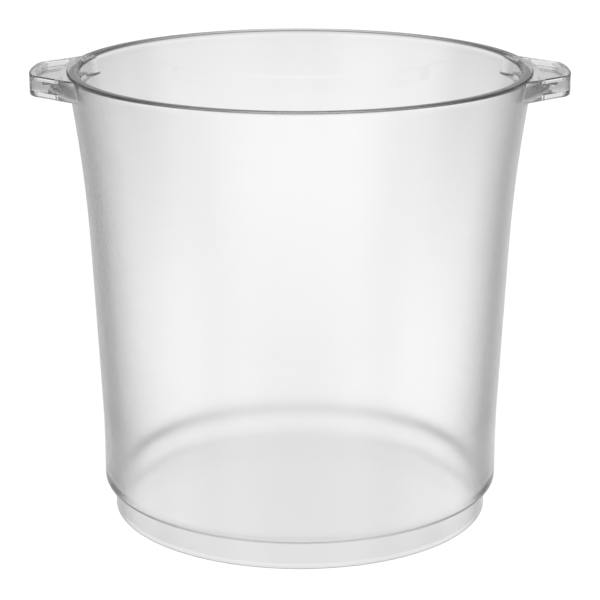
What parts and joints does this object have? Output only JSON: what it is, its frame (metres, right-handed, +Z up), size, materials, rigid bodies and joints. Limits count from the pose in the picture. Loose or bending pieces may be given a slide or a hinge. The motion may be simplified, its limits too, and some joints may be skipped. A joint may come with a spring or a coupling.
{
  "type": "ice bucket",
  "caption": "Round clear plastic ice bucket for one bottle, frosted flared side, polished rim, stepped-in foot and fixed lug handles at the rim",
  "frame": {"origin": "centre of the foot's underside, on the table", "axes": "+Z up along the bucket's centre line, +X through the right handle, +Y away from a person facing both handles side on"},
  "size_m": [0.232, 0.1996, 0.198],
  "materials": {
    "frosted_plastic": "clear plastic, satin frosted on its outer face and polished inside",
    "clear_plastic": "polished clear plastic"
  },
  "bodies": {
    "root": {"bucket_wall": "frosted_plastic", "foot_ring": "frosted_plastic", "rim_ring": "clear_plastic", "floor_disc": "clear_plastic", "handle_left": "clear_plastic", "handle_right": "clear_plastic"}
  },
  "joints": []
}
